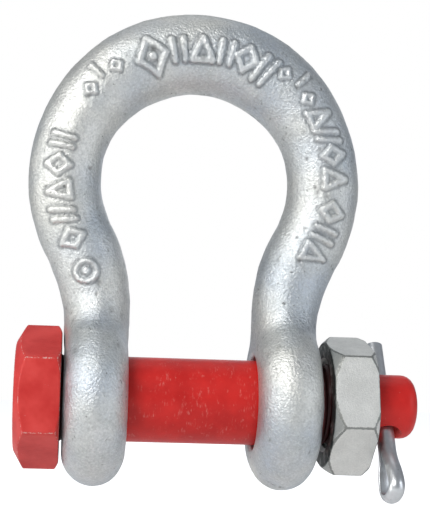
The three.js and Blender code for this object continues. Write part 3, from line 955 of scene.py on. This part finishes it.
def red_paint(rubbed_edge):
    material, tree, shader, vector = new_material("red_paint")
    broad = noise(tree, vector, 130.0, 3.0, 0.6)
    tone = mix(tree, ramp(tree, broad, 0.35, 0.65), (0.50, 0.012, 0.010, 1), (0.63, 0.020, 0.016, 1))
    chalk = math_node(tree, "MULTIPLY", attribute(tree, "head"), ramp(tree, broad, 0.25, 0.75))
    tone = mix(tree, math_node(tree, "MULTIPLY", chalk, 0.10), tone, (0.72, 0.42, 0.38, 1))
    round_scale = add(tree, "ShaderNodeMapping", {"Vector": vector, "Scale": (1.0, 0.22, 0.22)}).outputs[0]
    streaks = noise(tree, round_scale, 3200.0, 2.0, 0.6)
    scuffs = noise(tree, vector, 420.0, 3.0, 0.7)
    rubbed = math_node(tree, "MULTIPLY", ramp(tree, streaks, 0.52, 0.72), ramp(tree, scuffs, 0.50, 0.66))
    rubbed = math_node(tree, "MULTIPLY", rubbed, attribute(tree, "shank"))
    tone = mix(tree, math_node(tree, "MULTIPLY", rubbed, 0.45), tone, (0.72, 0.30, 0.26, 1))
    wear = {"Vector": vector, "Edge": attribute(tree, "edge"), "Wear": 0.57, "Scale": 1700.0}
    worn = group(tree, rubbed_edge, wear)["Mask"]
    chips = ramp(tree, noise(tree, vector, 1900.0, 2.0), 0.76, 0.80)
    bare = math_node(tree, "MAXIMUM", worn, chips)
    tone = mix(tree, math_node(tree, "MULTIPLY", bare, 0.7), tone, (0.66, 0.50, 0.46, 1))
    # Painted shade: nearly black paint in the shaded gaps beside the eyes.
    painted_shade = math_node(tree, "MULTIPLY", attribute(tree, "gap_shade"), 0.93)
    tone = mix(tree, painted_shade, tone, (0.016, 0.012, 0.012, 1))
    tree.links.new(tone, shader.inputs["Base Color"])
    shader.inputs["Specular IOR Level"].default_value = 0.3
    rough = math_node(tree, "MULTIPLY_ADD", broad, 0.16, 0.32)
    tree.links.new(math_node(tree, "MULTIPLY_ADD", rubbed, 0.2, rough), shader.inputs["Roughness"])
    fine = noise(tree, vector, 1900.0, 2.0, 0.6)
    height = math_node(tree, "MULTIPLY_ADD", bare, -0.6, fine)
    set_bump(tree, shader, height, 0.00006, 0.5)
    return material


def zinc_wire(zinc_skin):
    material, tree, shader, vector = new_material("zinc_wire")
    skin = group(tree, zinc_skin, {"Vector": vector, "Grain Scale": 1500.0, "Patch Scale": 420.0})
    drawn = add(tree, "ShaderNodeMapping", {"Vector": vector, "Scale": (1.0, 1.0, 0.15)}).outputs[0]
    lines = noise(tree, drawn, 2600.0, 2.0, 0.5)
    tone = mix(tree, skin["Patches"], (0.56, 0.57, 0.58, 1), (0.74, 0.76, 0.78, 1))
    tone = mix(tree, math_node(tree, "MULTIPLY", skin["Specks"], 0.6), tone, (0.10, 0.10, 0.10, 1))
    tree.links.new(tone, shader.inputs["Base Color"])
    shader.inputs["Metallic"].default_value = 0.95
    tree.links.new(math_node(tree, "MULTIPLY_ADD", skin["Patches"], -0.08, 0.36), shader.inputs["Roughness"])
    set_bump(tree, shader, lines, 0.00004, 0.4)
    return material


# ---------------------------------------------------------------- floor, light and camera
FLOOR_HEIGHT = -0.050
FLOOR_RADIUS = 3.0
CAMERA_PLACE = Vector((-27.3, -276.7, 3.6)) * MM
CAMERA_YAW = 0.0758
CAMERA_PITCH = -0.0594  # below zero looks up
CAMERA_ROLL = 0.0294
CAMERA_LENS = 85.65
CAMERA_SHIFT = (0.10, 0.10)
AIM = Vector((0.0, 0.0, 0.035))


def make_floor():
    angles = np.linspace(0, 2 * math.pi, 96, endpoint=False)
    rim = [(FLOOR_RADIUS * math.cos(a), FLOOR_RADIUS * math.sin(a), FLOOR_HEIGHT) for a in angles]
    mesh = bpy.data.meshes.new("studio_floor")
    mesh.from_pydata(rim, [], [list(range(len(rim)))])
    floor = link(bpy.data.objects.new("studio_floor", mesh))
    material = bpy.data.materials.new("floor_paper")
    material.use_nodes = True
    shader = material.node_tree.nodes["Principled BSDF"]
    shader.inputs["Base Color"].default_value = (0.88, 0.88, 0.88, 1)
    shader.inputs["Roughness"].default_value = 0.9
    shader.inputs["Emission Color"].default_value = (1, 1, 1, 1)
    tree = material.node_tree
    seen = add(tree, "ShaderNodeLightPath").outputs["Is Camera Ray"]
    tree.links.new(math_node(tree, "MULTIPLY_ADD", seen, 0.64, 0.10), shader.inputs["Emission Strength"])
    mesh.materials.append(material)


def make_world():
    world = bpy.data.worlds.new("studio")
    bpy.context.scene.world = world
    world.use_nodes = True
    tree = world.node_tree
    tree.nodes.clear()
    seen = add(tree, "ShaderNodeBackground", {"Color": (1, 1, 1, 1), "Strength": 1.0})
    lit = add(tree, "ShaderNodeBackground", {"Color": (0.86, 0.92, 1.0, 1), "Strength": 0.30})
    by_camera = add(tree, "ShaderNodeLightPath").outputs["Is Camera Ray"]
    either = add(tree, "ShaderNodeMixShader", {0: by_camera, 1: lit.outputs[0], 2: seen.outputs[0]})
    add(tree, "ShaderNodeOutputWorld", {"Surface": either.outputs[0]})


def make_light(name, place, size, power, color=(1, 1, 1)):
    light = bpy.data.lights.new(name, "AREA")
    light.shape = "RECTANGLE"
    light.size, light.size_y = size
    light.energy = power
    light.color = color
    obj = link(bpy.data.objects.new(name, light))
    obj.location = place
    obj.rotation_euler = (AIM - Vector(place)).to_track_quat("-Z", "Y").to_euler()


def make_lights():
    make_light("key_softbox", (-0.42, -0.62, 0.50), (0.34, 0.34), 4.6, (1.0, 0.985, 0.96))
    make_light("left_softbox", (-0.90, -0.22, 0.16), (0.5, 0.6), 2.8, (1.0, 0.99, 0.96))
    make_light("fill_softbox", (0.75, -0.45, 0.22), (0.4, 0.6), 1.5, (0.90, 0.94, 1.0))
    make_light("top_softbox", (0.05, 0.25, 0.95), (0.8, 0.6), 0.9)
    make_light("back_softbox", (0.2, 0.9, 0.35), (0.9, 0.5), 1.2, (0.95, 0.97, 1.0))


def make_camera():
    camera = bpy.data.cameras.new("camera")
    camera.lens = CAMERA_LENS
    camera.sensor_width = 36
    camera.clip_start = 0.01
    camera.shift_x, camera.shift_y = CAMERA_SHIFT
    obj = link(bpy.data.objects.new("camera", camera))
    yaw, pitch, roll = CAMERA_YAW, CAMERA_PITCH, CAMERA_ROLL
    forward = Vector((math.sin(yaw) * math.cos(pitch), math.cos(yaw) * math.cos(pitch), -math.sin(pitch)))
    level = Vector((math.cos(yaw), -math.sin(yaw), 0))
    upright = level.cross(forward)
    right = math.cos(roll) * level + math.sin(roll) * upright
    up = -math.sin(roll) * level + math.cos(roll) * upright
    turn = Matrix((right, up, -forward)).transposed().to_4x4()
    obj.matrix_world = Matrix.Translation(CAMERA_PLACE) @ turn
    bpy.context.scene.camera = obj


# ---------------------------------------------------------------- assembly
def main():
    zinc_skin = zinc_skin_group()
    rubbed_edge = rubbed_edge_group()
    forging = galvanised_forging(zinc_skin)
    nut_zinc = galvanised_nut(zinc_skin, rubbed_edge)
    paint = red_paint(rubbed_edge)
    wire = zinc_wire(zinc_skin)
    lumps_tree = zinc_lumps_tree()
    thread_tree = cut_thread_tree()

    def lumps_of(material):
        def lumps(obj, height):
            values = {"Height": height * 2 * MM, "Wave Scale": 170.0, "Grain Scale": 900.0}
            return run_tree(obj, lumps_tree, values | {"Material": material})
        return lumps

    def thread_of(material):
        def thread(obj, middle, depth):
            values = {"Pitch": THREAD_PITCH * MM, "Depth": depth * MM, "Middle": middle * MM}
            return run_tree(obj, thread_tree, values | {"Material": material})
        return thread

    bow = make_bow(lumps_of(forging))
    bolt = make_bolt(thread_of(paint))
    nut = make_nut(thread_of(nut_zinc), lumps_of(nut_zinc))
    cotter = make_cotter(half_round_wire_tree(), wire)

    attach(bow, "bow")
    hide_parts("bow")
    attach(bolt, "bolt")
    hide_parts("bolt")
    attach(nut, "nut")
    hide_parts("nut")
    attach(cotter, "cotter_pin")
    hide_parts("cotter_pin")

    make_floor()
    make_world()
    make_lights()
    make_camera()
    bpy.context.scene.view_settings.view_transform = "Standard"


main()
